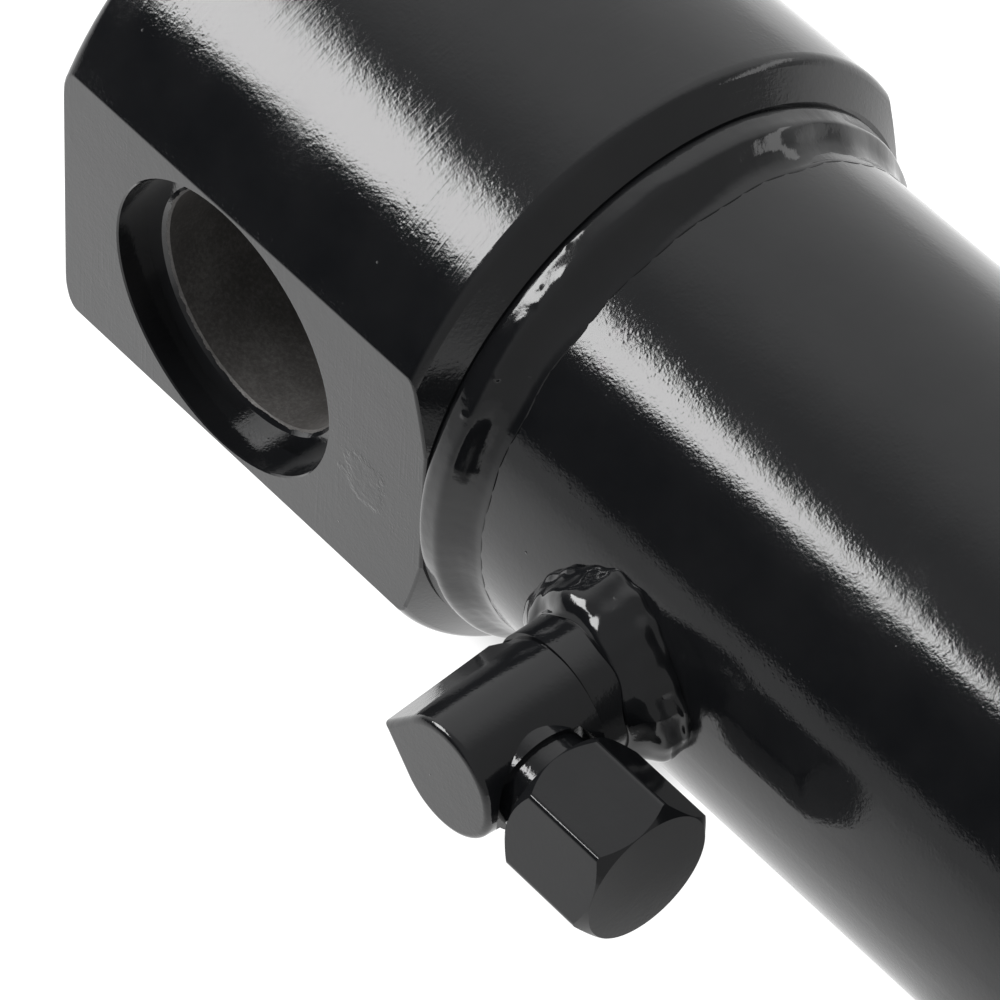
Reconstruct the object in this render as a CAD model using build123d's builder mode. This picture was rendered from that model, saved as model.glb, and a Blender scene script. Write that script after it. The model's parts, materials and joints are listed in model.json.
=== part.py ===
from build123d import *
import os

# Welded hydraulic cylinder for a loader arm: round base end with a cross pin
# bore, welded barrel, two capped elbow ports on the same side, screwed head
# gland, chromed rod, piston with its rings, and a welded rod eye.
#
# Frame: origin at the centre of the base pin bore, +X along the barrel toward
# the rod end, +Y along the pin bore, +Z up. The ports look along -Y.
# All lengths in millimetres, fully retracted.

# ---------------------------------------------------------------- dimensions
tube_od = 88.9            # barrel outside diameter, 3 1/2 in
tube_id = 76.2            # barrel bore, 3 in
tube_x0 = 47.5            # barrel butts the base shoulder here
tube_x1 = 590.0           # open end of the barrel, under the gland flange

base_dia = 108.0          # turned bar of the base end
base_width = 94.6         # across the two flats
base_end_x = -38.7        # back face of the base end
base_shoulder_x = 43.7    # the turned cylinder ends here, then a cone to the weld
base_nose_r = 48.5        # small end of that cone, at the barrel
base_shoulder_round = 2.4  # rounded corner between the two
base_spigot_x = 68.0      # pilot of the base inside the barrel
edge_round = 3.2          # turned corner radius on the base and the eye
flat_edge_round = 0.6     # softened edge between a flat and the turned surface

pin_bore = 41.3           # pin bore of both bushes, 1 5/8 in
bush_od = 46.0
bush_chamfer = 0.9
recess_dia = 50.6         # seal recess at each end of a pin bore
recess_depth = 5.7
recess_chamfer = 0.25

base_weld_leg_r = 3.7     # girth weld, up the face of the base
base_weld_leg_x = 8.7     # girth weld, along the barrel

port_x = 86.8             # base port axis
rod_port_x = 550.0        # rod-end port axis
port_bore = 9.0
collar_r = 11.7           # turned collar standing on the barrel
collar_top = 56.0         # distance of the collar top from the barrel axis
body_r = 10.1             # forged elbow body: round of the end section
body_shift_x = 1.1        # centre of that round, toward the branch
body_shift_z = 0.6        # and above the barrel axis
body_point = 12.2         # pointed side of the section, from the port axis
body_draft = 3.0          # forging draft, degrees: wider toward the barrel
body_round = 1.1          # rounded edge of the end face
body_top = 77.8           # end face of the elbow body
branch_axis = 66.3        # branch axis, distance from the barrel axis
branch_shoulder = 9.7     # end of the branch forging, from the port axis
branch_r = 9.2
spot_r = 9.75             # the branch face is turned into the round side
neck_r = 8.3              # relief behind the male thread
thread_r = 9.35           # 3/4 in male flare thread, cut plain
thread_start = 14.6
thread_end = 25.2
nose_end = 29.0           # end of the 37 degree nose
cap_start = 14.2          # cap, from the port axis
cap_end = 32.6
cap_af = 22.2             # 7/8 in hexagon
cap_face_r = 11.0         # flat round face left by the chamfers
cap_edge_round = 1.1      # pressed hexagon, soft corners
cap_turn = 12.3           # clocking of the hexagon about the branch
port_weld_r = 17.2        # toe of the port weld on the barrel
port_weld_top = 49.8

rod_dia = 44.45           # 1 3/4 in chromed bar
rod_tip_x = 70.0
rod_pilot_dia = 30.0      # reduced, threaded end through piston and nut
piston_x0 = 93.0
piston_x1 = 135.0
piston_dia = 75.4
nut_x0 = 73.0
nut_af = 46.0

stroke = 400.0
run = 0.04                # radial running clearance of rings on bore and rod
ring_float = 0.05         # clearance of the piston rings in their grooves

gland_x0 = piston_x1 + stroke + 1.0
gland_nose_dia = 66.0
gland_body_x = 563.0
gland_flange_x = tube_x1
gland_end_x = 606.0

eye_face_x = 626.0
eye_pin_x = 668.0
eye_end_x = 706.0
eye_dia = 100.0
eye_width = 84.0
eye_weld_leg = 8.0

rt = tube_od / 2
ri = tube_id / 2
rr = rod_dia / 2
os.makedirs("parts", exist_ok=True)

# ------------------------------------------------------------------ base end
# Turned bar with a pilot for the barrel, two flats, a cross bore for the bush
# and a shallow seal recess at each end of it.
with BuildPart() as base_end:
    with BuildSketch(Plane.XY) as base_profile:
        with BuildLine():
            Polyline(
                (base_end_x, 0), (base_end_x, base_dia / 2),
                (base_shoulder_x, base_dia / 2), (tube_x0, base_nose_r),
                (tube_x0, ri - 0.05),
                (base_spigot_x - 2, ri - 0.05), (base_spigot_x, ri - 2.05),
                (base_spigot_x, 0), close=True,
            )
        make_face()
        top = base_profile.vertices().group_by(Axis.Y)[-1].sort_by(Axis.X)
        fillet(top[0], edge_round)
        fillet(
            base_profile.vertices().group_by(Axis.Y)[-1].sort_by(Axis.X)[-1],
            base_shoulder_round,
        )
    revolve(axis=Axis.X)
    for side in (-1, 1):
        with BuildSketch(Plane.XZ.offset(side * base_width / 2)):
            Rectangle(240, 140)
        extrude(amount=side * 20, mode=Mode.SUBTRACT)
    flats = base_end.faces().filter_by(Axis.Y).sort_by(Axis.Y)
    fillet(flats[0].edges() + flats[-1].edges(), flat_edge_round)
    with BuildSketch(Plane.XZ):
        Circle(bush_od / 2)
    extrude(amount=70, both=True, mode=Mode.SUBTRACT)
    for side in (-1, 1):
        with BuildSketch(Plane.XZ.offset(side * (base_width / 2 - recess_depth))):
            Circle(recess_dia / 2)
        extrude(amount=side * 20, mode=Mode.SUBTRACT)
    rims = base_end.edges().filter_by(GeomType.CIRCLE).filter_by(
        lambda e: abs(e.radius - recess_dia / 2) < 0.01
        and abs(abs(e.center().Y) - base_width / 2) < 0.01
    )
    chamfer(rims, recess_chamfer)
base_end.part.label = "base_end"
export_step(base_end.part, "parts/base_end.step")

# Hardened bush pressed in the base, flush with the floors of the recesses.
with BuildPart() as base_bush:
    with BuildSketch(Plane.XZ):
        Circle(bush_od / 2)
        Circle(pin_bore / 2, mode=Mode.SUBTRACT)
    extrude(amount=base_width / 2 - recess_depth, both=True)
    chamfer(
        base_bush.edges().filter_by(GeomType.CIRCLE).filter_by(
            lambda e: abs(e.radius - pin_bore / 2) < 0.01
        ),
        bush_chamfer,
    )
base_bush.part.label = "base_bush"
export_step(base_bush.part, "parts/base_bush.step")

# -------------------------------------------------------------------- barrel
# Honed tube, drilled for the two ports, with a lead-in for the gland.
with BuildPart() as barrel_tube:
    with BuildSketch(Plane.YZ.offset(tube_x0)):
        Circle(rt)
        Circle(ri, mode=Mode.SUBTRACT)
    extrude(amount=tube_x1 - tube_x0)
    chamfer(barrel_tube.faces().sort_by(Axis.X)[-1].edges(), 0.8)
    with BuildSketch(Plane.XZ):
        with Locations((port_x, 0), (rod_port_x, 0)):
            Circle(port_bore / 2)
    extrude(amount=60, mode=Mode.SUBTRACT)
barrel_tube.part.label = "barrel_tube"
export_step(barrel_tube.part, "parts/barrel_tube.step")

# Girth weld between the base shoulder and the barrel, slightly crowned.
with BuildPart() as base_weld:
    with BuildSketch(Plane.XY):
        with BuildLine():
            Line((tube_x0, rt), (tube_x0, rt + base_weld_leg_r))
            ThreePointArc(
                (tube_x0, rt + base_weld_leg_r),
                (tube_x0 + 4.5, rt + 2.4),
                (tube_x0 + base_weld_leg_x, rt),
            )
            Line((tube_x0 + base_weld_leg_x, rt), (tube_x0, rt))
        make_face()
    revolve(axis=Axis.X)
base_weld.part.label = "base_weld"
export_step(base_weld.part, "parts/base_weld.step")

# --------------------------------------------------------------------- ports
# Forged elbow: round collar saddled on the barrel, body with one pointed side,
# branch with a relief, a male thread and a 37 degree nose.
with BuildPart() as base_port_elbow:
    with BuildSketch(Plane.XZ.offset(40)):
        with Locations((port_x, 0)):
            Circle(collar_r)
    extrude(amount=collar_top - 40)
    with BuildSketch(Plane.XZ.offset(collar_top - 0.1)):
        with Locations((port_x, 0)):
            Circle(collar_r - 0.7)
    extrude(amount=0.6)
    # the two flanks run from the point to where they touch the round
    run_in = body_r * body_r / (body_shift_x + body_point)
    touch_x = body_shift_x - run_in
    touch_z = (body_r * body_r - run_in * run_in) ** 0.5
    with BuildSketch(
        Plane((port_x, -body_top, body_shift_z), x_dir=(1, 0, 0), z_dir=(0, 1, 0))
    ):
        with BuildLine():
            Line((-body_point, 0), (touch_x, touch_z))
            ThreePointArc(
                (touch_x, touch_z), (body_shift_x + body_r, 0), (touch_x, -touch_z)
            )
            Line((touch_x, -touch_z), (-body_point, 0))
        make_face()
    extrude(amount=body_top - collar_top - 0.4, taper=-body_draft)
    fillet(base_port_elbow.faces().sort_by(Axis.Y)[0].edges(), body_round)
    with BuildSketch(Plane.YZ.offset(port_x)):
        with Locations((-branch_axis, 0)):
            Circle(branch_r)
    extrude(amount=branch_shoulder)
    with BuildSketch(Plane.YZ.offset(port_x + branch_shoulder)):
        with Locations((-branch_axis, 0)):
            Circle(spot_r)
    extrude(amount=5, mode=Mode.SUBTRACT)
    with BuildSketch(Plane.YZ.offset(port_x)):
        with Locations((-branch_axis, 0)):
            Circle(neck_r)
    extrude(amount=thread_start)
    with BuildSketch(Plane.YZ.offset(port_x + thread_start)):
        with Locations((-branch_axis, 0)):
            Circle(thread_r)
    extrude(amount=thread_end - thread_start)
    with BuildSketch(Plane.YZ.offset(port_x + thread_end)):
        with Locations((-branch_axis, 0)):
            Circle(7.9)
    extrude(amount=nose_end - thread_end, taper=37)
    with BuildSketch(Plane.YZ.offset(port_x - 30)):
        Circle(rt)
    extrude(amount=60, mode=Mode.SUBTRACT)
    with BuildSketch(Plane.XZ):
        with Locations((port_x, 0)):
            Circle(port_bore / 2)
    extrude(amount=branch_axis, mode=Mode.SUBTRACT)
    with BuildSketch(Plane.YZ.offset(port_x)):
        with Locations((-branch_axis, 0)):
            Circle(port_bore / 2)
    extrude(amount=60, mode=Mode.SUBTRACT)
base_port_elbow.part.label = "base_port_elbow"
export_step(base_port_elbow.part, "parts/base_port_elbow.step")

# Fillet weld round the collar, following the barrel underneath.
with BuildPart() as base_port_weld:
    with BuildSketch(Plane.XY):
        with BuildLine():
            Line((port_x + collar_r, -40), (port_x + collar_r, -port_weld_top))
            ThreePointArc(
                (port_x + collar_r, -port_weld_top),
                (port_x + 14.2, -48.0),
                (port_x + port_weld_r, -44.3),
            )
            Polyline(
                (port_x + port_weld_r, -44.3),
                (port_x + port_weld_r, -40),
                (port_x + collar_r, -40),
            )
        make_face()
    revolve(axis=Axis((port_x, 0, 0), (0, 1, 0)))
    with BuildSketch(Plane.YZ.offset(port_x - 30)):
        Circle(rt)
    extrude(amount=60, mode=Mode.SUBTRACT)
base_port_weld.part.label = "base_port_weld"
export_step(base_port_weld.part, "parts/base_port_weld.step")

# Hexagon flare cap: chamfered at both ends, threaded bore and cone seat inside.
with BuildPart() as base_port_cap:
    with BuildSketch(
        Plane((port_x + cap_start, -branch_axis, 0), x_dir=(0, 1, 0), z_dir=(1, 0, 0))
    ):
        RegularPolygon(cap_af / 2, 6, major_radius=False, rotation=cap_turn)
    extrude(amount=cap_end - cap_start)
    fillet(base_port_cap.edges().filter_by(Axis.X), cap_edge_round)
    with BuildSketch(Plane.XY):
        with BuildLine():
            Polyline(
                (port_x + cap_start, -branch_axis),
                (port_x + cap_start, -branch_axis + cap_face_r),
                (port_x + cap_start + 3.96, -branch_axis + cap_face_r + 3.0),
                (port_x + cap_end - 3.0, -branch_axis + cap_face_r + 3.0),
                (port_x + cap_end, -branch_axis + cap_face_r),
                (port_x + cap_end, -branch_axis),
                close=True,
            )
        make_face()
    revolve(axis=Axis((port_x, -branch_axis, 0), (1, 0, 0)), mode=Mode.INTERSECT)
    with BuildSketch(Plane.XY):
        with BuildLine():
            Polyline(
                (port_x + cap_start - 1, -branch_axis),
                (port_x + cap_start - 1, -branch_axis + thread_r + 0.05),
                (port_x + thread_end + 0.5, -branch_axis + thread_r + 0.05),
                (port_x + thread_end + 0.5, -branch_axis + 7.6),
                (port_x + nose_end + 0.3, -branch_axis + 4.9),
                (port_x + nose_end + 0.3, -branch_axis),
                close=True,
            )
        make_face()
    revolve(axis=Axis((port_x, -branch_axis, 0), (1, 0, 0)), mode=Mode.SUBTRACT)
base_port_cap.part.label = "base_port_cap"
export_step(base_port_cap.part, "parts/base_port_cap.step")

# The rod-end port is the same set turned to face the base port.
port_mirror = Plane.YZ.offset((port_x + rod_port_x) / 2)
with BuildPart() as rod_port_elbow:
    mirror(base_port_elbow.part, about=port_mirror)
rod_port_elbow.part.label = "rod_port_elbow"
export_step(rod_port_elbow.part, "parts/rod_port_elbow.step")

with BuildPart() as rod_port_weld:
    mirror(base_port_weld.part, about=port_mirror)
rod_port_weld.part.label = "rod_port_weld"
export_step(rod_port_weld.part, "parts/rod_port_weld.step")

with BuildPart() as rod_port_cap:
    mirror(base_port_cap.part, about=port_mirror)
rod_port_cap.part.label = "rod_port_cap"
export_step(rod_port_cap.part, "parts/rod_port_cap.step")

# --------------------------------------------------------------------- gland
# Head gland: slim nose under the rod-end port, body in the barrel, flange with
# four spanner holes, and the grooves for its rings.
wear_r = 24.8             # bottom of the two wear ring grooves
wear_a = (545.0, 557.0)
buffer_x = (561.0, 567.0)
buffer_r = 27.0
seal_x = (570.5, 579.5)
seal_r = 28.0
wear_b = (583.0, 593.0)
wiper_x = (597.5, 604.0)
wiper_r = 27.0
o_groove = (566.5, 573.0)
o_groove_r = 34.9
with BuildPart() as head_gland:
    with BuildSketch(Plane.XY):
        with BuildLine():
            Polyline(
                (gland_x0, rr + 0.3), (gland_x0, gland_nose_dia / 2 - 1),
                (gland_x0 + 1, gland_nose_dia / 2),
                (gland_body_x, gland_nose_dia / 2), (gland_body_x, ri - 1.2),
                (gland_body_x + 1.15, ri - 0.05),
                (o_groove[0], ri - 0.05), (o_groove[0], o_groove_r),
                (o_groove[1], o_groove_r), (o_groove[1], ri - 0.05),
                (gland_flange_x, ri - 0.05), (gland_flange_x, rt - 0.8),
                (gland_flange_x + 0.8, rt),
                (gland_end_x - 1.5, rt), (gland_end_x, rt - 1.5),
                (gland_end_x, wiper_r - 1.5), (wiper_x[1], wiper_r - 1.5),
                (wiper_x[1], wiper_r), (wiper_x[0], wiper_r),
                (wiper_x[0], rr + 0.3),
                (wear_b[1], rr + 0.3), (wear_b[1], wear_r),
                (wear_b[0], wear_r), (wear_b[0], rr + 0.3),
                (seal_x[1], rr + 0.3), (seal_x[1], seal_r),
                (seal_x[0], seal_r), (seal_x[0], rr + 0.3),
                (buffer_x[1], rr + 0.3), (buffer_x[1], buffer_r),
                (buffer_x[0], buffer_r), (buffer_x[0], rr + 0.3),
                (wear_a[1], rr + 0.3), (wear_a[1], wear_r),
                (wear_a[0], wear_r), (wear_a[0], rr + 0.3),
                close=True,
            )
        make_face()
    revolve(axis=Axis.X)
    with BuildSketch(Plane.YZ.offset(gland_end_x)):
        with PolarLocations(35.5, 4, start_angle=45):
            Circle(4.0)
    extrude(amount=-8, mode=Mode.SUBTRACT)
head_gland.part.label = "head_gland"
export_step(head_gland.part, "parts/head_gland.step")

# Static seal of the gland in the barrel: squeezed O-ring and its backup ring.
with BuildPart() as gland_o_ring:
    with BuildSketch(Plane.XY) as o_profile:
        with Locations((o_groove[0] + 2.15, (o_groove_r + ri) / 2)):
            RectangleRounded(4.0, ri - o_groove_r - 0.04, 1.5)
    revolve(axis=Axis.X)
gland_o_ring.part.label = "gland_o_ring"
export_step(gland_o_ring.part, "parts/gland_o_ring.step")

with BuildPart() as gland_backup_ring:
    with BuildSketch(Plane.XY):
        with Locations((o_groove[1] - 1.0, (o_groove_r + ri) / 2)):
            Rectangle(1.8, ri - o_groove_r - 0.04)
    revolve(axis=Axis.X)
gland_backup_ring.part.label = "gland_backup_ring"
export_step(gland_backup_ring.part, "parts/gland_backup_ring.step")

# Split wear rings that guide the rod in the gland.
with BuildPart() as rod_wear_ring_inner:
    with BuildSketch(Plane.XY):
        with BuildLine():
            Polyline(
                (wear_a[0] + 0.1, rr + run), (wear_a[1] - 0.1, rr + run),
                (wear_a[1] - 0.1, wear_r), (wear_a[0] + 0.1, wear_r), close=True,
            )
        make_face()
    revolve(axis=Axis.X)
    with BuildSketch(Plane.XY.offset(20)):
        with Locations((551, 0)):
            Rectangle(20, 1.6)
    extrude(amount=10, mode=Mode.SUBTRACT)
rod_wear_ring_inner.part.label = "rod_wear_ring_inner"
export_step(rod_wear_ring_inner.part, "parts/rod_wear_ring_inner.step")

with BuildPart() as rod_wear_ring_outer:
    with BuildSketch(Plane.XY):
        with BuildLine():
            Polyline(
                (wear_b[0] + 0.1, rr + run), (wear_b[1] - 0.1, rr + run),
                (wear_b[1] - 0.1, wear_r), (wear_b[0] + 0.1, wear_r), close=True,
            )
        make_face()
    revolve(axis=Axis.X)
    with BuildSketch(Plane.XY.offset(-30)):
        with Locations((588, 0)):
            Rectangle(20, 1.6)
    extrude(amount=10, mode=Mode.SUBTRACT)
rod_wear_ring_outer.part.label = "rod_wear_ring_outer"
export_step(rod_wear_ring_outer.part, "parts/rod_wear_ring_outer.step")

# Buffer seal, main U-cup and wiper on the rod.
with BuildPart() as rod_buffer_seal:
    with BuildSketch(Plane.XY):
        with BuildLine():
            Polyline(
                (buffer_x[0] + 0.3, rr + run), (buffer_x[1] - 0.2, rr + run),
                (buffer_x[1] - 0.2, buffer_r), (buffer_x[0] + 0.3, buffer_r),
                (buffer_x[0] + 1.8, rr + 2.6), close=True,
            )
        make_face()
    revolve(axis=Axis.X)
rod_buffer_seal.part.label = "rod_buffer_seal"
export_step(rod_buffer_seal.part, "parts/rod_buffer_seal.step")

with BuildPart() as rod_seal:
    with BuildSketch(Plane.XY):
        with BuildLine():
            Polyline(
                (seal_x[0] + 0.4, rr + run), (seal_x[1] - 0.2, rr + run),
                (seal_x[1] - 0.2, seal_r), (seal_x[0] + 0.4, seal_r),
                (seal_x[0] + 0.4, seal_r - 1.2), (seal_x[0] + 4.2, rr + 3.4),
                (seal_x[0] + 4.2, rr + 2.5), (seal_x[0] + 0.4, rr + 1.3),
                close=True,
            )
        make_face()
    revolve(axis=Axis.X)
rod_seal.part.label = "rod_seal"
export_step(rod_seal.part, "parts/rod_seal.step")

with BuildPart() as rod_wiper:
    with BuildSketch(Plane.XY):
        with BuildLine():
            Polyline(
                (wiper_x[0] + 0.2, rr + 0.6), (wiper_x[0] + 0.2, wiper_r),
                (wiper_x[1] - 0.2, wiper_r), (wiper_x[1] - 0.2, wiper_r - 1.6),
                (wiper_x[1] - 0.2, rr + 2.6), (wiper_x[1] + 4.4, rr + 1.3),
                (wiper_x[1] + 4.4, rr + run), (wiper_x[1] + 3.4, rr + run),
                close=True,
            )
        make_face()
    revolve(axis=Axis.X)
rod_wiper.part.label = "rod_wiper"
export_step(rod_wiper.part, "parts/rod_wiper.step")

# -------------------------------------------------------------------- piston
p_wear_r = 35.6
p_wear_a = (96.5, 106.6)
p_wear_b = (121.4, 131.5)
p_seal = (110.4, 117.6)
p_seal_r = 33.0
p_o = (112.4, 115.6)
with BuildPart() as piston:
    with BuildSketch(Plane.XY):
        with BuildLine():
            Polyline(
                (piston_x0, rod_pilot_dia / 2), (piston_x0, piston_dia / 2 - 1.5),
                (piston_x0 + 1.5, piston_dia / 2),
                (p_wear_a[0], piston_dia / 2), (p_wear_a[0], p_wear_r),
                (p_wear_a[1], p_wear_r), (p_wear_a[1], piston_dia / 2),
                (p_seal[0], piston_dia / 2), (p_seal[0], p_seal_r),
                (p_seal[1], p_seal_r), (p_seal[1], piston_dia / 2),
                (p_wear_b[0], piston_dia / 2), (p_wear_b[0], p_wear_r),
                (p_wear_b[1], p_wear_r), (p_wear_b[1], piston_dia / 2),
                (piston_x1 - 1.5, piston_dia / 2), (piston_x1, piston_dia / 2 - 1.5),
                (piston_x1, rod_pilot_dia / 2),
                (p_o[1], rod_pilot_dia / 2), (p_o[1], rod_pilot_dia / 2 + 2.2),
                (p_o[0], rod_pilot_dia / 2 + 2.2), (p_o[0], rod_pilot_dia / 2),
                close=True,
            )
        make_face()
    revolve(axis=Axis.X)
piston.part.label = "piston"
export_step(piston.part, "parts/piston.step")

with BuildPart() as piston_o_ring:
    with BuildSketch(Plane.XY):
        with Locations(((p_o[0] + p_o[1]) / 2, rod_pilot_dia / 2 + 1.1)):
            RectangleRounded(2.8, 2.16, 1.0)
    revolve(axis=Axis.X)
piston_o_ring.part.label = "piston_o_ring"
export_step(piston_o_ring.part, "parts/piston_o_ring.step")

# Slipper seal with the elastic ring that loads it.
with BuildPart() as piston_seal:
    with BuildSketch(Plane.XY):
        with BuildLine():
            Polyline(
                (p_seal[0] + ring_float, 35.5), (p_seal[1] - ring_float, 35.5),
                (p_seal[1] - ring_float, ri - 0.5), (p_seal[1] - 0.55, ri - run),
                (p_seal[0] + 0.55, ri - run), (p_seal[0] + ring_float, ri - 0.5),
                close=True,
            )
        make_face()
    revolve(axis=Axis.X)
piston_seal.part.label = "piston_seal"
export_step(piston_seal.part, "parts/piston_seal.step")

with BuildPart() as piston_seal_energizer:
    with BuildSketch(Plane.XY):
        with Locations(((p_seal[0] + p_seal[1]) / 2, (p_seal_r + ring_float + 35.5) / 2)):
            RectangleRounded(5.2, 35.5 - p_seal_r - ring_float, 1.1)
    revolve(axis=Axis.X)
piston_seal_energizer.part.label = "piston_seal_energizer"
export_step(piston_seal_energizer.part, "parts/piston_seal_energizer.step")

# Split wear rings of the piston.
with BuildPart() as piston_wear_ring_rear:
    with BuildSketch(Plane.XY):
        with BuildLine():
            Polyline(
                (p_wear_a[0] + ring_float, p_wear_r + ring_float),
                (p_wear_a[1] - ring_float, p_wear_r + ring_float),
                (p_wear_a[1] - ring_float, ri - run),
                (p_wear_a[0] + ring_float, ri - run), close=True,
            )
        make_face()
    revolve(axis=Axis.X)
    with BuildSketch(Plane.XY.offset(30)):
        with Locations((101.5, 0)):
            Rectangle(20, 2.0)
    extrude(amount=10, mode=Mode.SUBTRACT)
piston_wear_ring_rear.part.label = "piston_wear_ring_rear"
export_step(piston_wear_ring_rear.part, "parts/piston_wear_ring_rear.step")

with BuildPart() as piston_wear_ring_front:
    with BuildSketch(Plane.XY):
        with BuildLine():
            Polyline(
                (p_wear_b[0] + ring_float, p_wear_r + ring_float),
                (p_wear_b[1] - ring_float, p_wear_r + ring_float),
                (p_wear_b[1] - ring_float, ri - run),
                (p_wear_b[0] + ring_float, ri - run), close=True,
            )
        make_face()
    revolve(axis=Axis.X)
    with BuildSketch(Plane.XY.offset(-40)):
        with Locations((126.5, 0)):
            Rectangle(20, 2.0)
    extrude(amount=10, mode=Mode.SUBTRACT)
piston_wear_ring_front.part.label = "piston_wear_ring_front"
export_step(piston_wear_ring_front.part, "parts/piston_wear_ring_front.step")

# ----------------------------------------------------------------------- rod
# Chromed bar: reduced threaded end for the piston, pilot for the rod eye.
with BuildPart() as rod:
    with BuildSketch(Plane.XY):
        with BuildLine():
            Polyline(
                (rod_tip_x, 0), (rod_tip_x, rod_pilot_dia / 2 - 1.5),
                (rod_tip_x + 1.5, rod_pilot_dia / 2),
                (piston_x1, rod_pilot_dia / 2), (piston_x1, rr - 0.8),
                (piston_x1 + 0.8, rr), (eye_face_x, rr),
                (eye_face_x, 12.5), (eye_face_x + 12, 12.5),
                (eye_face_x + 12, 0), close=True,
            )
        make_face()
    revolve(axis=Axis.X)
rod.part.label = "rod"
export_step(rod.part, "parts/rod.step")

# Piston nut.
with BuildPart() as piston_nut:
    with BuildSketch(Plane.YZ.offset(nut_x0)):
        RegularPolygon(nut_af / 2, 6, major_radius=False)
    extrude(amount=piston_x0 - nut_x0)
    with BuildSketch(Plane.XY):
        with BuildLine():
            Polyline(
                (nut_x0, rod_pilot_dia / 2), (nut_x0, nut_af / 2 - 0.4),
                (nut_x0 + 2.31, nut_af / 2 + 3.6), (piston_x0, nut_af / 2 + 3.6),
                (piston_x0, rod_pilot_dia / 2), close=True,
            )
        make_face()
    revolve(axis=Axis.X, mode=Mode.INTERSECT)
piston_nut.part.label = "piston_nut"
export_step(piston_nut.part, "parts/piston_nut.step")

# ------------------------------------------------------------------- rod eye
# Same style as the base end: turned bar, flats, bushed cross bore, recesses.
with BuildPart() as rod_eye:
    with BuildSketch(Plane.XY) as eye_profile:
        with BuildLine():
            Polyline(
                (eye_face_x, 0), (eye_face_x, eye_dia / 2),
                (eye_end_x, eye_dia / 2), (eye_end_x, 0), close=True,
            )
        make_face()
        fillet(eye_profile.vertices().group_by(Axis.Y)[-1], edge_round)
    revolve(axis=Axis.X)
    for side in (-1, 1):
        with BuildSketch(Plane.XZ.offset(side * eye_width / 2)):
            with Locations((eye_pin_x, 0)):
                Rectangle(240, 140)
        extrude(amount=side * 20, mode=Mode.SUBTRACT)
    eye_flats = rod_eye.faces().filter_by(Axis.Y).sort_by(Axis.Y)
    fillet(eye_flats[0].edges() + eye_flats[-1].edges(), flat_edge_round)
    with BuildSketch(Plane.XZ):
        with Locations((eye_pin_x, 0)):
            Circle(bush_od / 2)
    extrude(amount=70, both=True, mode=Mode.SUBTRACT)
    for side in (-1, 1):
        with BuildSketch(Plane.XZ.offset(side * (eye_width / 2 - recess_depth))):
            with Locations((eye_pin_x, 0)):
                Circle(recess_dia / 2)
        extrude(amount=side * 20, mode=Mode.SUBTRACT)
    eye_rims = rod_eye.edges().filter_by(GeomType.CIRCLE).filter_by(
        lambda e: abs(e.radius - recess_dia / 2) < 0.01
        and abs(abs(e.center().Y) - eye_width / 2) < 0.01
    )
    chamfer(eye_rims, recess_chamfer)
    with BuildSketch(Plane.YZ.offset(eye_face_x)):
        Circle(12.5)
    extrude(amount=12, mode=Mode.SUBTRACT)
rod_eye.part.label = "rod_eye"
export_step(rod_eye.part, "parts/rod_eye.step")

with BuildPart() as rod_eye_bush:
    with BuildSketch(Plane.XZ):
        with Locations((eye_pin_x, 0)):
            Circle(bush_od / 2)
            Circle(pin_bore / 2, mode=Mode.SUBTRACT)
    extrude(amount=eye_width / 2 - recess_depth, both=True)
    chamfer(
        rod_eye_bush.edges().filter_by(GeomType.CIRCLE).filter_by(
            lambda e: abs(e.radius - pin_bore / 2) < 0.01
        ),
        bush_chamfer,
    )
rod_eye_bush.part.label = "rod_eye_bush"
export_step(rod_eye_bush.part, "parts/rod_eye_bush.step")

# Weld between the rod and its eye.
with BuildPart() as rod_eye_weld:
    with BuildSketch(Plane.XY):
        with BuildLine():
            Line((eye_face_x, rr), (eye_face_x, rr + eye_weld_leg))
            ThreePointArc(
                (eye_face_x, rr + eye_weld_leg),
                (eye_face_x - 4.6, rr + 4.2),
                (eye_face_x - eye_weld_leg, rr),
            )
            Line((eye_face_x - eye_weld_leg, rr), (eye_face_x, rr))
        make_face()
    revolve(axis=Axis.X)
rod_eye_weld.part.label = "rod_eye_weld"
export_step(rod_eye_weld.part, "parts/rod_eye_weld.step")
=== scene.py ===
import json
import math
import bmesh
import bpy
import numpy as np
from mathutils import Matrix, Vector


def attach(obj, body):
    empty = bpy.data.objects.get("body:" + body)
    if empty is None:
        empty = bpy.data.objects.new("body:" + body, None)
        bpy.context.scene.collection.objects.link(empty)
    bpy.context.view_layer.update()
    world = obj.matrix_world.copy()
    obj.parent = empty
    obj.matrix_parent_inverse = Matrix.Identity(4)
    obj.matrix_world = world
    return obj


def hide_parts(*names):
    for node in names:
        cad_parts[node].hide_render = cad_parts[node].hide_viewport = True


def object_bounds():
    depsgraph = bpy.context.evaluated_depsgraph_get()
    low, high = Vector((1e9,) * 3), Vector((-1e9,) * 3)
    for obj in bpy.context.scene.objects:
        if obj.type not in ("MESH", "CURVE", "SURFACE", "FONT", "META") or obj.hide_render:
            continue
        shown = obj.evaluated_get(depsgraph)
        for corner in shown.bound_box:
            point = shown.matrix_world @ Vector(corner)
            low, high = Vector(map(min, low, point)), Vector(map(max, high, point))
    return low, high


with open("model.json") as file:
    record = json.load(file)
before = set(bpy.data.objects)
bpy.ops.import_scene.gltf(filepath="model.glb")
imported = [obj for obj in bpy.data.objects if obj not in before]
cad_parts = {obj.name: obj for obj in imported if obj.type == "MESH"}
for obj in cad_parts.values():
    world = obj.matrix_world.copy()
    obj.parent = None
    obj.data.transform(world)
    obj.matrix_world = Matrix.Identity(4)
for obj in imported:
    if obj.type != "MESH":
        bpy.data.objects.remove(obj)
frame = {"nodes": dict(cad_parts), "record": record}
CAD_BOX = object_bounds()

MM = 0.001
scene = bpy.context.scene
nodes = frame["nodes"]


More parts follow.
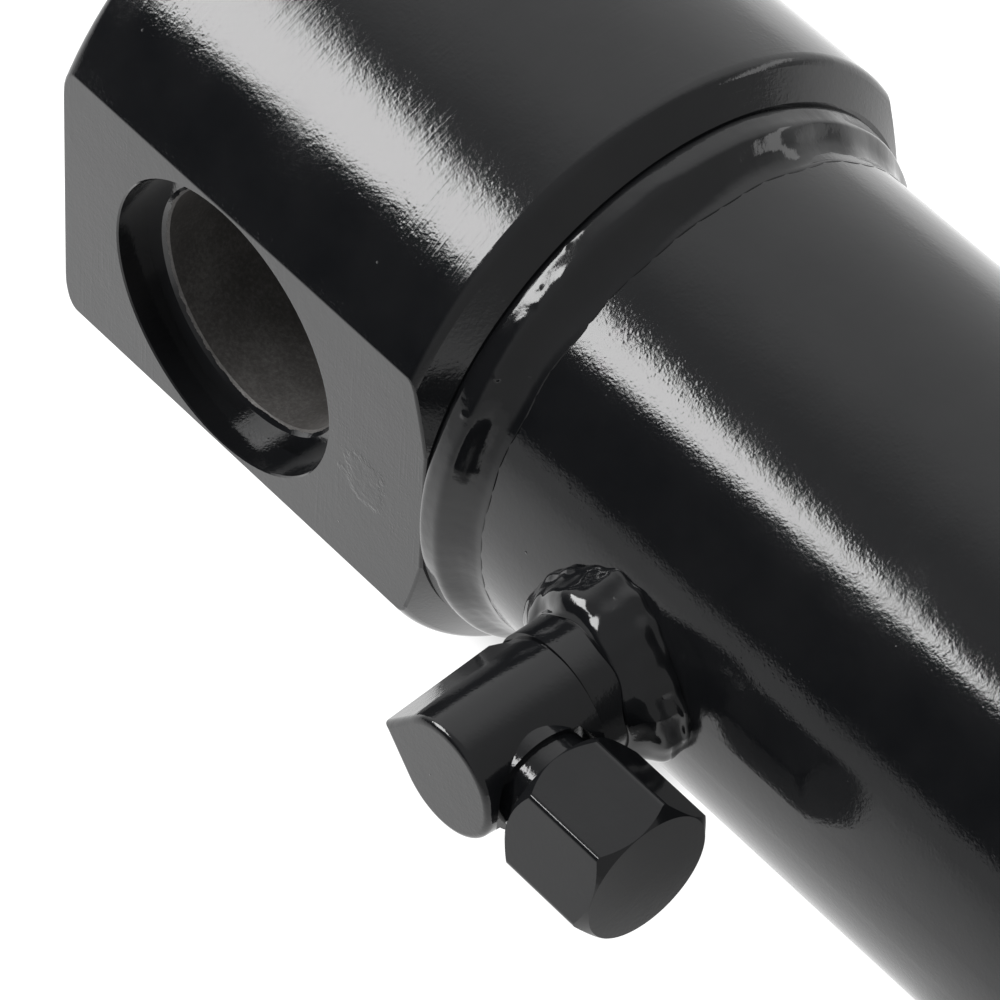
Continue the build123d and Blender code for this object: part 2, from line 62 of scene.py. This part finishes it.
# ------------------------------------------------------------------ camera
cam_data = bpy.data.cameras.new("camera_main")
cam_data.lens = 252.0
cam_data.sensor_width = 36.0
cam_data.clip_start = 0.05
cam_data.clip_end = 50.0
cam = bpy.data.objects.new("camera_main", cam_data)
scene.collection.objects.link(cam)
az, el, roll = math.radians(46.872), math.radians(48.941), math.radians(3.458)
back = Vector((math.sin(az) * math.cos(el), -math.cos(az) * math.cos(el), math.sin(el)))
right0 = Vector((0, 0, 1)).cross(back).normalized()
up0 = back.cross(right0)
right = math.cos(roll) * right0 + math.sin(roll) * up0
up = -math.sin(roll) * right0 + math.cos(roll) * up0
m = Matrix.Identity(4)
for i in range(3):
    m[i][0], m[i][1], m[i][2] = right[i], up[i], back[i]
m[0][3], m[1][3], m[2][3] = 0.55058, -0.50320, 0.78371
cam.matrix_world = m
scene.camera = cam
scene.view_settings.view_transform = "Standard"
scene.view_settings.look = "None"
scene.view_settings.exposure = 0.0
scene.view_settings.gamma = 1.0


# --------------------------------------------------------------- materials
class Mat:
    """A small helper for building a node material."""

    def __init__(self, name):
        self.m = bpy.data.materials.new(name)
        self.m.use_nodes = True
        self.t = self.m.node_tree
        self.t.nodes.clear()
        self.out = self.n("ShaderNodeOutputMaterial")

    def n(self, kind, **props):
        node = self.t.nodes.new(kind)
        for k, v in props.items():
            setattr(node, k, v)
        return node

    def link(self, a, b):
        self.t.links.new(a, b)

    def noise(self, vec, scale, detail=2.0, rough=0.5, distortion=0.0):
        k = self.n("ShaderNodeTexNoise")
        k.inputs["Scale"].default_value = scale
        k.inputs["Detail"].default_value = detail
        k.inputs["Roughness"].default_value = rough
        k.inputs["Distortion"].default_value = distortion
        self.link(vec, k.inputs["Vector"])
        return k.outputs["Fac"]

    def ramp(self, fac, stops):
        k = self.n("ShaderNodeValToRGB")
        e = k.color_ramp.elements
        e[0].position, e[0].color = stops[0]
        e[1].position, e[1].color = stops[-1]
        for p, c in stops[1:-1]:
            x = e.new(p)
            x.color = c
        self.link(fac, k.inputs["Fac"])
        return k.outputs["Color"]

    def math(self, op, a, b=None, c=None, clamp=False):
        k = self.n("ShaderNodeMath", operation=op, use_clamp=clamp)
        for i, v in enumerate((a, b, c)):
            if v is None:
                continue
            if isinstance(v, (int, float)):
                k.inputs[i].default_value = v
            else:
                self.link(v, k.inputs[i])
        return k.outputs[0]

    def coords(self):
        return self.n("ShaderNodeTexCoord").outputs["Object"]

    def bump(self, height, distance, strength=1.0, normal=None):
        k = self.n("ShaderNodeBump")
        k.inputs["Strength"].default_value = strength
        k.inputs["Distance"].default_value = distance
        self.link(height, k.inputs["Height"])
        if normal is not None:
            self.link(normal, k.inputs["Normal"])
        return k.outputs["Normal"]


def g(v, a=1.0):
    return (v, v, v, a)


def paint_nodes(M, b, co, fine=1.0, wave=1.0):
    """Thick gloss black enamel: orange peel, slow waves, nibs of dust, dull patches."""
    b.inputs["IOR"].default_value = 1.5
    mott = M.noise(co, 70.0, 4.0, 0.6)
    col = M.ramp(mott, [(0.3, (0.0056, 0.0060, 0.0069, 1)), (0.7, (0.0088, 0.0091, 0.0100, 1))])
    patch = M.ramp(M.noise(co, 38.0, 3.0, 0.62), [(0.50, g(0.0)), (0.74, g(1.0))])
    grit = M.noise(co, 1500.0, 2.0, 0.6)
    rough = M.math("MULTIPLY_ADD", M.math("MULTIPLY", patch, grit), 0.16, 0.055)
    rough = M.math("MULTIPLY_ADD", M.noise(co, 260.0, 3.0, 0.6), 0.035, rough)
    slow = M.noise(co, 85.0, 2.0, 0.5)
    peel = M.noise(co, 620.0, 2.0, 0.5)
    micro = M.noise(co, 1500.0, 3.0, 0.65)
    cell = M.n("ShaderNodeTexVoronoi")
    cell.inputs["Scale"].default_value = 210.0
    M.link(co, cell.inputs["Vector"])
    pick = M.n("ShaderNodeSeparateColor")
    M.link(cell.outputs["Color"], pick.inputs[0])
    size = M.math("MULTIPLY", M.math("SUBTRACT", pick.outputs[0], 0.72, clamp=True), 0.22)
    nib = M.math("SUBTRACT", size, cell.outputs["Distance"], clamp=True)
    pits = M.n("ShaderNodeTexVoronoi")
    pits.inputs["Scale"].default_value = 1250.0
    M.link(co, pits.inputs["Vector"])
    worn = M.ramp(M.noise(co, 55.0, 4.0, 0.65), [(0.42, g(0.15)), (0.72, g(1.0))])
    pit = M.math("MULTIPLY", M.math("SUBTRACT", 0.42, pits.outputs["Distance"], clamp=True), worn)
    nrm = M.bump(slow, 0.00005 * wave)
    nrm = M.bump(peel, 0.000015 * wave, 1.0, nrm)
    nrm = M.bump(micro, 0.000019 * fine, 1.0, nrm)
    nrm = M.bump(pit, 0.000036 * fine, 1.0, nrm)
    nrm = M.bump(nib, 0.0035, 1.0, nrm)
    return col, rough, nrm


def black_paint(name, fine=1.0, wave=1.0, scuffs=False):
    M = Mat(name)
    b = M.n("ShaderNodeBsdfPrincipled")
    M.link(b.outputs[0], M.out.inputs["Surface"])
    co = M.coords()
    col, rough, nrm = paint_nodes(M, b, co, fine, wave)
    if scuffs:
        # handling scratches that run round the turned surface, in patches
        k = M.n("ShaderNodeMapping")
        k.inputs["Scale"].default_value = (1500.0, 55.0, 55.0)
        k.inputs["Rotation"].default_value = (0.0, 0.12, 0.22)
        M.link(co, k.inputs["Vector"])
        lines = M.ramp(M.noise(k.outputs[0], 1.0, 3.0, 0.6), [(0.50, g(0.0)), (0.78, g(1.0))])
        where = M.ramp(M.noise(co, 48.0, 3.0, 0.6), [(0.45, g(0.0)), (0.68, g(1.0))])
        nrm = M.bump(M.math("MULTIPLY", lines, where), 0.000020, 1.0, nrm)
        # a dull, scraped place on the near flat
        d = M.n("ShaderNodeVectorMath", operation="DISTANCE")
        d.inputs[1].default_value = SCRAPE
        M.link(co, d.inputs[0])
        edge = M.math("MULTIPLY_ADD", M.noise(co, 330.0, 4.0, 0.7), 0.0090, 0.0008)
        rub = M.math("MULTIPLY", M.math("SUBTRACT", edge, d.outputs["Value"], clamp=True), 700.0, clamp=True)
        rough = M.math("MULTIPLY_ADD", rub, 0.05, rough)
        nrm = M.bump(M.math("MULTIPLY", M.noise(co, 620.0, 3.0, 0.7), rub), 0.00009, 1.0, nrm)
    M.link(col, b.inputs["Base Color"])
    M.link(rough, b.inputs["Roughness"])
    M.link(nrm, b.inputs["Normal"])
    return M.m


def painted_bush(name, centre_x, bore):
    """Painted ends, bare bore: the paint stops at the edge of the pin bore."""
    M = Mat(name)
    b = M.n("ShaderNodeBsdfPrincipled")
    M.link(b.outputs[0], M.out.inputs["Surface"])
    co = M.coords()
    col, rough, nrm = paint_nodes(M, b, co)
    sep = M.n("ShaderNodeSeparateXYZ")
    M.link(co, sep.inputs[0])
    dx = M.math("SUBTRACT", sep.outputs[0], centre_x)
    rad = M.math("SQRT", M.math("ADD", M.math("MULTIPLY", dx, dx), M.math("MULTIPLY", sep.outputs[2], sep.outputs[2])))
    edge = M.math("MULTIPLY_ADD", M.noise(co, 420.0, 3.0, 0.65), 0.0009, bore - 0.00012)
    bare = M.math("LESS_THAN", rad, edge)
    stain = M.math("MULTIPLY_ADD", M.noise(co, 1500.0, 5.0, 0.75), 0.62, M.math("MULTIPLY", M.noise(co, 90.0, 3.0, 0.6), 0.40))
    steel = M.ramp(stain, [(0.25, (0.030, 0.028, 0.027, 1)), (0.5, (0.075, 0.071, 0.068, 1)), (0.66, (0.13, 0.125, 0.12, 1)), (0.80, (0.30, 0.29, 0.28, 1))])
    mix = M.n("ShaderNodeMix", data_type="RGBA")
    M.link(bare, mix.inputs["Factor"])
    M.link(col, mix.inputs["A"])
    M.link(steel, mix.inputs["B"])
    M.link(mix.outputs["Result"], b.inputs["Base Color"])
    r2 = M.math("MULTIPLY_ADD", stain, 0.25, 0.38)
    rr = M.math("ADD", M.math("MULTIPLY", bare, r2), M.math("MULTIPLY", M.math("SUBTRACT", 1.0, bare), rough))
    M.link(rr, b.inputs["Roughness"])
    M.link(M.math("MULTIPLY", bare, 0.35), b.inputs["Metallic"])
    grain = M.noise(co, 1500.0, 4.0, 0.7)
    n2 = M.bump(M.math("MULTIPLY", grain, bare), 0.00005, 1.0, nrm)
    M.link(n2, b.inputs["Normal"])
    return M.m


def turned(name, color, rough, rough_range, depth, pitch):
    """Metal turned or ground about X: fine rings, slightly uneven sheen."""
    M = Mat(name)
    b = M.n("ShaderNodeBsdfPrincipled")
    M.link(b.outputs[0], M.out.inputs["Surface"])
    co = M.coords()
    b.inputs["Metallic"].default_value = 1.0
    k = M.n("ShaderNodeMapping")
    k.inputs["Scale"].default_value = (pitch, 18.0, 18.0)
    M.link(co, k.inputs["Vector"])
    rings = M.noise(k.outputs[0], 1.0, 3.0, 0.6)
    lo = tuple(x * 0.96 for x in color) + (1,)
    hi = tuple(min(1, x * 1.03) for x in color) + (1,)
    M.link(M.ramp(rings, [(0.3, lo), (0.7, hi)]), b.inputs["Base Color"])
    M.link(M.math("MULTIPLY_ADD", M.noise(co, 90.0, 3.0, 0.6), rough_range, rough), b.inputs["Roughness"])
    M.link(M.bump(rings, depth), b.inputs["Normal"])
    return M.m


def plain(name, color, rough, metallic=0.0, bump_scale=400.0, bump=0.00001):
    M = Mat(name)
    b = M.n("ShaderNodeBsdfPrincipled")
    M.link(b.outputs[0], M.out.inputs["Surface"])
    co = M.coords()
    b.inputs["Metallic"].default_value = metallic
    c = tuple(color)
    lo = tuple(x * 0.85 for x in c) + (1,)
    hi = tuple(min(1, x * 1.12) for x in c) + (1,)
    M.link(M.ramp(M.noise(co, 120.0, 4.0, 0.6), [(0.3, lo), (0.7, hi)]), b.inputs["Base Color"])
    M.link(M.math("MULTIPLY_ADD", M.noise(co, 200.0, 3.0, 0.6), 0.15, rough - 0.07), b.inputs["Roughness"])
    M.link(M.bump(M.noise(co, bump_scale, 3.0, 0.6), bump), b.inputs["Normal"])
    return M.m


SCRAPE = (0.0340, -0.0473, -0.0045)
paint = black_paint("gloss_black_paint")
paint_base = black_paint("gloss_black_paint_base", 1.1, 1.0, True)
paint_flat = black_paint("gloss_black_paint_flats", 0.5, 0.5)
paint_weld = black_paint("gloss_black_paint_weld", 0.5, 1.6)
bush_mat = painted_bush("base_bush_finish", 0.0, 0.02065)
eye_bush_mat = painted_bush("rod_eye_bush_finish", 0.668, 0.02065)
machined = turned("machined_steel", (0.55, 0.55, 0.56), 0.24, 0.08, 0.000006, 2600.0)
chrome = turned("hard_chrome", (0.80, 0.81, 0.83), 0.045, 0.03, 0.0000006, 5200.0)
nitrile = plain("nitrile_rubber", (0.02, 0.02, 0.02), 0.6)
urethane = plain("polyurethane_blue", (0.10, 0.15, 0.42), 0.4)
ptfe = plain("bronze_ptfe", (0.33, 0.20, 0.09), 0.5)
nylon = plain("black_nylon", (0.05, 0.05, 0.05), 0.45)

by_slot = {
    "painted_steel": paint, "bush_steel": bush_mat, "machined_steel": machined,
    "chrome_rod": chrome, "nitrile": nitrile, "polyurethane": urethane,
    "filled_ptfe": ptfe, "acetal": nylon,
}
slot_of = {s["node"]: s["material_slot"] for s in frame["record"]["subparts"]}
for name, o in nodes.items():
    o.data.materials.clear()
    o.data.materials.append(by_slot[slot_of[name]])
nodes["rod_eye_bush"].data.materials[0] = eye_bush_mat
for name in ("base_end", "rod_eye"):
    nodes[name].data.materials[0] = paint_base
for name in ("base_port_cap", "rod_port_cap"):
    nodes[name].data.materials[0] = paint_flat



# ------------------------------------------------------------------ welds
RT = 44.45


class Lumps:
    """A smooth periodic field of lumps, the same on every run."""

    def __init__(self, seed, n, kmax, vmax):
        r = np.random.default_rng(seed)
        self.k = r.integers(1, kmax + 1, n)
        self.q = r.uniform(-vmax, vmax, n)
        self.p = r.uniform(0, 2 * math.pi, n)
        self.a = r.uniform(0.4, 1.0, n) / np.sqrt(n)

    def at(self, ang, v):
        return sum(a * np.cos(k * ang + q * v + p) for k, q, p, a in zip(self.k, self.q, self.p, self.a)) * 1.2


def ring_mesh(name, grid):
    """Closed torus-like mesh from rows of points: grid[i][j], i round the ring, j round the section."""
    n, m = grid.shape[:2]
    me = bpy.data.meshes.new(name)
    verts = (grid.reshape(-1, 3) * MM).tolist()
    faces = []
    for i in range(n):
        for j in range(m):
            a0 = i * m + j
            a1 = i * m + (j + 1) % m
            b0 = ((i + 1) % n) * m + j
            b1 = ((i + 1) % n) * m + (j + 1) % m
            faces.append((a0, a1, b1, b0))
    me.from_pydata(verts, [], faces)
    me.update()
    bm = bmesh.new()
    bm.from_mesh(me)
    bmesh.ops.recalc_face_normals(bm, faces=bm.faces)
    if bm.calc_volume(signed=True) < 0:
        bmesh.ops.reverse_faces(bm, faces=bm.faces)
    bm.to_mesh(me)
    bm.free()
    for poly in me.polygons:
        poly.use_smooth = True
    o = bpy.data.objects.new(name, me)
    scene.collection.objects.link(o)
    return o


def smooth_step(x):
    x = np.clip(x, 0, 1)
    return x * x * (3 - 2 * x)


def dome(ang, v, a0, v0, wa, wv):
    d = (np.angle(np.exp(1j * (ang - math.radians(a0)))) / math.radians(wa)) ** 2 + ((v - v0) / wv) ** 2
    return np.exp(-d)


def girth_weld(name, node, body, prof, direction, seed, crown_lumps, toe_wave, extra=(), ripple=0.022, low=None):
    """prof: section points (axial, radius) from the shoulder to the toe, direction +1 or -1 along X."""
    n = 900
    prof = np.array(prof, float)
    t = np.r_[0, np.cumsum(np.hypot(*np.diff(prof, axis=0).T))]
    t /= t[-1]
    v = np.linspace(0, 1, 46)
    # round the section off between its points
    px_, pr_ = np.interp(v, t, prof[:, 0]), np.interp(v, t, prof[:, 1])
    for _ in range(3):
        px_[1:-1] = (px_[:-2] + 2 * px_[1:-1] + px_[2:]) / 4
        pr_[1:-1] = (pr_[:-2] + 2 * pr_[1:-1] + pr_[2:]) / 4
    ang = np.linspace(0, 2 * math.pi, n, endpoint=False)[:, None]
    V = v[None, :]
    lump, fine, toe = Lumps(seed, 26, 20, 3.5), Lumps(seed + 1, 40, 70, 12.0), Lumps(seed + 2, 18, 22, 0.1)
    nx, nr = np.gradient(pr_), -np.gradient(px_)
    ln = np.hypot(nx, nr)
    nx, nr = nx / ln, nr / ln
    sgn = np.sign(nr.sum()) or 1
    nx, nr = nx * sgn, nr * sgn
    window = smooth_step(V / 0.16) * smooth_step((1 - V) / 0.20)
    off = crown_lumps * window * (lump.at(ang, V * 4) + 0.10 * fine.at(ang, V * 4))
    # slight crescents of the solidified pool
    phase = ang * 47 + 5.0 * (V - 0.5) ** 2 + 0.6 * toe.at(ang, 0)
    off = off + ripple * window * np.abs(np.sin(phase)) ** 1.5
    for a0, v0, wa, wv, h in extra:
        off = off + h * dome(ang, V, a0, v0, wa, wv)
    if low:
        # the bead is laid lower over part of the way round
        a0, a1, h = low
        mid, half = math.radians((a0 + a1) / 2), math.radians((a1 - a0) / 2)
        away = np.abs(np.angle(np.exp(1j * (ang - mid))))
        off = off - h * smooth_step((half - away) / 0.45) * np.sin(math.pi * np.clip(V * 1.05, 0, 1)) ** 0.6
    shift = toe_wave * toe.at(ang, 0) * smooth_step(V)
    X = px_[None, :] + direction * shift + off * nx[None, :]
    R = pr_[None, :] + off * nr[None, :]
    # the section closes under the surface of the two parts
    x_in, r_in = prof[0]
    X = np.concatenate([X, np.full((n, 1), prof[-1][0] - direction * 0.6), np.full((n, 1), x_in - direction * 0.05)], 1)
    R = np.concatenate([R, np.full((n, 1), prof[-1][1] - 0.3), np.full((n, 1), prof[-1][1] - 0.3)], 1)
    A = np.broadcast_to(ang, X.shape)
    P = np.stack([X, -R * np.cos(A), R * np.sin(A)], 2)
    o = ring_mesh(name, P)
    o.data.materials.append(paint_weld)
    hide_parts(node)
    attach(o, body)
    return o


def port_weld(name, node, port, flip, collar, toe_table, seed, extra=()):
    """Fillet bead between a round collar and the barrel; flip = -1 mirrors it along X."""
    n = 620
    ang = np.linspace(0, 2 * math.pi, n, endpoint=False)
    ta = np.radians([a for a, _ in toe_table])
    tr = np.array([r for _, r in toe_table])
    order = np.argsort(ta)
    ta, tr = ta[order], tr[order]
    ro = np.interp(ang, np.r_[ta - 2 * math.pi, ta, ta + 2 * math.pi], np.r_[tr, tr, tr])
    k = 9
    ro = np.convolve(np.r_[ro[-k:], ro, ro[:k]], np.ones(2 * k + 1) / (2 * k + 1), "valid")
    lump, fine, top = Lumps(seed, 18, 8, 2.6), Lumps(seed + 1, 30, 26, 6.0), Lumps(seed + 2, 14, 7, 0.1)
    ro = ro + 0.22 * top.at(ang * 3, 0)
    v = np.linspace(0, 1, 44)
    V = v[None, :]
    A = ang[:, None]
    y_in = -(50.2 + 1.6 * np.exp(-(np.angle(np.exp(1j * ang)) / 0.9) ** 2) + 0.45 * top.at(ang + 1.3, 0))[:, None]
    Ro = ro[:, None]
    y_out = -np.sqrt(RT ** 2 - (Ro * np.sin(A)) ** 2)
    dr, dy = Ro - collar, y_out - y_in
    ln = np.hypot(dr, dy)
    nr, ny = dy / ln, -dr / ln
    window = smooth_step(V / 0.10) * smooth_step((1 - V) / 0.14)
    bead = 1.05 * np.sin(math.pi * np.clip(V, 0, 1)) ** 0.75
    off = bead + window * (0.40 * lump.at(A, V * 4) + 0.020 * fine.at(A, V * 4))
    # crescents left where the pool froze, only on the side toward the base
    pool = smooth_step((np.cos(A - math.pi) - 0.55) / 0.4)
    off = off - 0.10 * pool * window * np.abs(np.sin(7.5 * A + 3.2 * V)) ** 6
    for a0, v0, wa, wv, h in extra:
        off = off + h * dome(A, V, a0, v0, wa, wv)
    off = np.maximum(off, 0.02) * smooth_step((1 - V) / 0.05)
    R = collar + dr * V + off * nr
    Y = y_in + dy * V + off * ny
    skin = -np.sqrt(RT ** 2 - (R * np.sin(A)) ** 2)
    Y = np.minimum(Y, skin - 0.012 * (1 - smooth_step(V - 0.02)))
    R = np.concatenate([R, Ro - 0.6, np.full((n, 1), collar - 0.15)], 1)
    Y = np.concatenate([Y, y_out + 0.7, -np.sqrt(RT ** 2 - (collar * np.sin(A)) ** 2) + 0.6], 1)
    AA = np.broadcast_to(A, R.shape)
    P = np.stack([port + flip * R * np.cos(AA), Y, R * np.sin(AA)], 2)
    o = ring_mesh(name, P)
    o.data.materials.append(paint_weld)
    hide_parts(node)
    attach(o, "barrel")
    return o


girth_weld(
    "base_weld_bead", "base_weld", "barrel",
    [(47.2, 47.6), (47.55, 48.1), (48.0, 48.40), (48.7, 48.47), (50.0, 48.48), (51.3, 48.47), (52.0, 48.2), (52.9, 47.3), (54.0, 46.1), (55.3, 45.1), (56.3, 44.62), (57.6, 44.42)],
    1, 11, 0.055, 0.30,
    ((83.0, 0.42, 5.5, 0.26, 0.50), (58.0, 0.40, 1.6, 0.09, 0.16), (50.0, 0.36, 1.0, 0.05, -0.10), (46.5, 0.30, 1.2, 0.05, 0.07), (62.0, 0.12, 0.6, 0.03, 0.12), (53.5, 0.22, 0.7, 0.035, 0.07), (36.5, 0.46, 0.5, 0.04, 0.28), (40.0, 0.80, 0.5, 0.04, 0.25),
     (27.0, 0.30, 0.4, 0.035, 0.22), (230.0, 0.4, 5.0, 0.3, 0.4)),
    0.010, (100.0, 250.0, 1.15),
)
girth_weld(
    "rod_eye_weld_bead", "rod_eye_weld", "rod",
    [(626.05, 30.6), (625.2, 30.5), (624.0, 29.9), (622.6, 28.3), (621.2, 26.2), (619.8, 24.0), (618.6, 22.7), (617.7, 22.3), (617.2, 22.235)],
    -1, 23, 0.30, 0.35,
)
TOE = [
    (-19.3, 16.0), (-2, 17.2), (16.5, 16.6), (31.5, 15.1), (47.5, 14.6), (64.8, 15.1), (77.5, 15.8), (89, 16.1), (100.6, 16.4),
    (109, 16.3), (123.6, 15.7), (142.6, 15.6), (163, 16.3), (179, 17.0), (196, 17.2), (212, 16.5), (228, 15.7), (245, 15.4),
    (262, 16.2), (280, 16.6), (296, 15.9), (312, 15.3), (326, 15.5),
]
port_weld(
    "base_port_weld_bead", "base_port_weld", 86.8, 1, 11.7, TOE, 5,
    ((105.0, 0.42, 17.0, 0.30, 0.35), (52.0, 0.45, 15.0, 0.30, 0.40), (0.0, 0.5, 20.0, 0.3, 0.25)),
)
port_weld("rod_port_weld_bead", "rod_port_weld", 550.0, -1, 11.7, [(a + 40, r) for a, r in TOE], 9)

# ------------------------------------------------------------------ stage
def poly_light(name, verts, strength, tint=(1, 1, 1)):
    me = bpy.data.meshes.new(name)
    me.from_pydata(verts, [], [tuple(range(len(verts)))])
    o = bpy.data.objects.new(name, me)
    scene.collection.objects.link(o)
    M = Mat(name)
    e = M.n("ShaderNodeEmission")
    e.inputs["Color"].default_value = (*tint, 1)
    e.inputs["Strength"].default_value = strength
    M.link(e.outputs[0], M.out.inputs["Surface"])
    me.materials.append(M.m)
    o.visible_camera = False
    o.visible_shadow = False
    return o


mean = Vector((-0.49487474, -0.55491061, 0.66871011))
e1 = Vector((-0.74632585, 0.66558074, 0.0))
e2 = Vector((0.44508057, 0.49907564, 0.74352323))
D = 1500.0


def soft_pt(a, b):
    return tuple(MM * (D * mean + a * e1 + b * e2))


A = (-349, 105)
B = (A[0] + 760 * 0.612, A[1] - 760 * 0.791)
Dd = (A[0] + 860 * 0.965, A[1] + 860 * 0.262)
Cc = (B[0] + Dd[0] - A[0], B[1] + Dd[1] - A[1])
poly_light("softbox_left", [soft_pt(*A), soft_pt(*B), soft_pt(*Cc), soft_pt(*Dd)], 13.0)

# a long, weaker softbox for the far side
F1, F2, F3 = Vector((0.36, 0.90, 0.26)).normalized(), Vector((0.93, -0.37, 0.0)).normalized(), None
F3 = F1.cross(F2).normalized()
poly_light("softbox_back", [tuple(F1 * 2.2 + F2 * a + F3 * c) for a, c in ((-0.75, -0.16), (0.75, -0.16), (0.75, 0.16), (-0.75, 0.16))], 2.2)

# floor: it glows, and its emission paints a pool of light, brightest round the base end and dimmer toward the front,
# along the barrel and toward the far side
bpy.ops.mesh.primitive_plane_add(size=8.0, location=(0.3, 0, CAD_BOX[0][2] - 0.0003))
floor = bpy.context.object
floor.name = "floor"
M = Mat("pale_floor_painted_light")
b = M.n("ShaderNodeBsdfPrincipled")
b.inputs["Base Color"].default_value = (0.12, 0.12, 0.12, 1)
b.inputs["Roughness"].default_value = 0.8
b.inputs["Specular IOR Level"].default_value = 0.0
b.inputs["Emission Color"].default_value = (1, 1, 1, 1)
M.link(b.outputs[0], M.out.inputs["Surface"])
sep = M.n("ShaderNodeSeparateXYZ")
M.link(M.n("ShaderNodeNewGeometry").outputs["Position"], sep.inputs[0])


def floor_step(fac, a0, a1, v0, v1):
    k = M.n("ShaderNodeMapRange")
    k.interpolation_type = "SMOOTHSTEP"
    for nm, v in (("From Min", a0), ("From Max", a1), ("To Min", v0), ("To Max", v1)):
        k.inputs[nm].default_value = v
    M.link(fac, k.inputs["Value"])
    return k.outputs["Result"]


# painted light: the floor's glow falls off toward the front, along the barrel and toward the far side
far_front = floor_step(sep.outputs[1], -0.42, -0.06, 0.36, 1.0)
along = floor_step(sep.outputs[0], -0.02, 0.10, 1.0, 0.84)
far_back = floor_step(sep.outputs[1], 0.30, 1.10, 1.0, 0.72)
# painted shadow: a soft strip of dimmed floor glow beneath the barrel stands in for its contact shadow
side = floor_step(M.math("ABSOLUTE", sep.outputs[1]), 0.028, 0.085, 1.0, 0.0)
painted_shadow = M.math("MULTIPLY", side, floor_step(sep.outputs[0], 0.131, 0.149, 0.0, 0.74))
painted_shadow = M.math("MULTIPLY", painted_shadow, floor_step(sep.outputs[0], 0.60, 0.74, 1.0, 0.0))
# painted shadow beneath the base end too, a narrower strip of dimmed floor glow
base_side = floor_step(M.math("ABSOLUTE", sep.outputs[1]), 0.014, 0.032, 0.72, 0.0)
base_len = M.math("MULTIPLY", floor_step(sep.outputs[0], -0.045, -0.020, 0.0, 1.0), floor_step(sep.outputs[0], 0.068, 0.086, 1.0, 0.0))
painted_shadow = M.math("MAXIMUM", painted_shadow, M.math("MULTIPLY", base_side, base_len))
pool = M.math("MULTIPLY", M.math("MULTIPLY", M.math("MULTIPLY", far_front, along), far_back), M.math("SUBTRACT", 1.0, painted_shadow))
# strength of the floor's painted glow
pool = M.math("MULTIPLY", pool, 1.22)
M.link(pool, b.inputs["Emission Strength"])
floor.data.materials.append(M.m)

# overhead softbox, toward the rod end
def area(name, loc, target, sx, sy, power):
    d = bpy.data.lights.new(name, "AREA")
    d.shape = "RECTANGLE"
    d.size, d.size_y = sx, sy
    d.energy = power
    o = bpy.data.objects.new(name, d)
    scene.collection.objects.link(o)
    o.location = loc
    o.visible_glossy = False
    o.rotation_euler = (Vector(target) - Vector(loc)).to_track_quat("-Z", "Y").to_euler()
    return o


area("softbox_top", (1.0, 0.15, 1.9), (0.2, 0, 0), 0.9, 0.9, 12.0)

# world: light backdrop behind, grey above, dark at the front left
w = bpy.data.worlds.new("studio")
scene.world = w
w.use_nodes = True
t = w.node_tree
t.nodes.clear()
wo = t.nodes.new("ShaderNodeOutputWorld")
bg = t.nodes.new("ShaderNodeBackground")
tc = t.nodes.new("ShaderNodeTexCoord")
t.links.new(bg.outputs[0], wo.inputs["Surface"])


def wdot(v):
    k = t.nodes.new("ShaderNodeVectorMath")
    k.operation = "DOT_PRODUCT"
    k.inputs[1].default_value = v
    t.links.new(tc.outputs["Generated"], k.inputs[0])
    return k.outputs["Value"]


def wramp(fac, stops):
    k = t.nodes.new("ShaderNodeMapRange")
    k.interpolation_type = "SMOOTHSTEP"
    (a0, v0), (a1, v1) = stops
    k.inputs["From Min"].default_value = a0
    k.inputs["From Max"].default_value = a1
    k.inputs["To Min"].default_value = v0
    k.inputs["To Max"].default_value = v1
    t.links.new(fac, k.inputs["Value"])
    return k.outputs["Result"]


def wmath(op, a, b_):
    k = t.nodes.new("ShaderNodeMath")
    k.operation = op
    for i, v in enumerate((a, b_)):
        if isinstance(v, (int, float)):
            k.inputs[i].default_value = v
        else:
            t.links.new(v, k.inputs[i])
    return k.outputs[0]


back_dir = (-0.60, 0.72, 0.35)
front_dir = (-0.545, -0.839, 0.0)
lit = wramp(wdot(back_dir), [(0.35, 0.38), (0.80, 0.95)])
dark = wramp(wdot(front_dir), [(0.55, 1.0), (0.93, 0.03)])
t.links.new(wmath("MULTIPLY", lit, dark), bg.inputs["Strength"])
bg.inputs["Color"].default_value = (1, 1, 1, 1)
